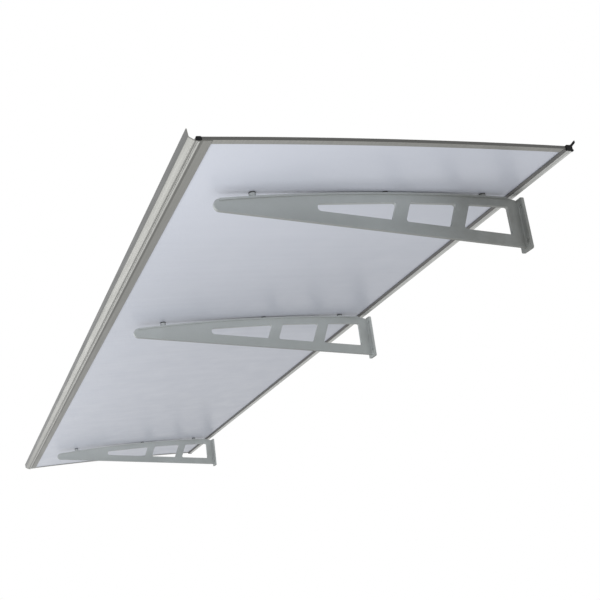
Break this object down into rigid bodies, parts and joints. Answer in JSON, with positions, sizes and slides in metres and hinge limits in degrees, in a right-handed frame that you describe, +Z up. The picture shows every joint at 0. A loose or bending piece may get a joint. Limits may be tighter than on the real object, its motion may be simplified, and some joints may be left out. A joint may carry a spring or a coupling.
{
  "type": "door canopy",
  "caption": "Long shallow door canopy: a slightly bowed opal sheet in aluminium edge profiles with a raised gutter lip in front, held by tapering windowed wall brackets.",
  "frame": {"origin": "centre of the middle bracket's wall face", "axes": "+X along the wall towards the end with the shorter overhang, +Y into the wall, +Z up"},
  "size_m": [3, 0.7509, 0.1404],
  "materials": {
    "sheet": "opal, satin",
    "aluminium": "mill extrusion",
    "bracket": "satin powder coat",
    "rubber": "matte",
    "black_plastic": "matte",
    "steel": "zinc plated"
  },
  "bodies": {
    "root": {"roof_panel": "sheet", "front_profile": "aluminium", "rear_profile": "aluminium", "rear_gasket": "rubber", "front_slot_plug_right": "black_plastic", "rear_end_cap_right": "black_plastic", "side_trim_right": "aluminium", "front_slot_plug_left": "black_plastic", "rear_end_cap_left": "black_plastic", "side_trim_left": "aluminium", "bracket_right": "bracket", "sheet_pad_right_1": "rubber", "screw_washer_right_1": "steel", "sheet_screw_right_1": "steel", "sheet_pad_right_2": "rubber", "screw_washer_right_2": "steel", "sheet_screw_right_2": "steel", "sheet_pad_right_3": "rubber", "screw_washer_right_3": "steel", "sheet_screw_right_3": "steel", "bracket_middle": "bracket", "sheet_pad_middle_1": "rubber", "screw_washer_middle_1": "steel", "sheet_screw_middle_1": "steel", "sheet_pad_middle_2": "rubber", "screw_washer_middle_2": "steel", "sheet_screw_middle_2": "steel", "sheet_pad_middle_3": "rubber", "screw_washer_middle_3": "steel", "sheet_screw_middle_3": "steel", "bracket_left": "bracket", "sheet_pad_left_1": "rubber", "screw_washer_left_1": "steel", "sheet_screw_left_1": "steel", "sheet_pad_left_2": "rubber", "screw_washer_left_2": "steel", "sheet_screw_left_2": "steel", "sheet_pad_left_3": "rubber", "screw_washer_left_3": "steel", "sheet_screw_left_3": "steel"}
  },
  "joints": []
}
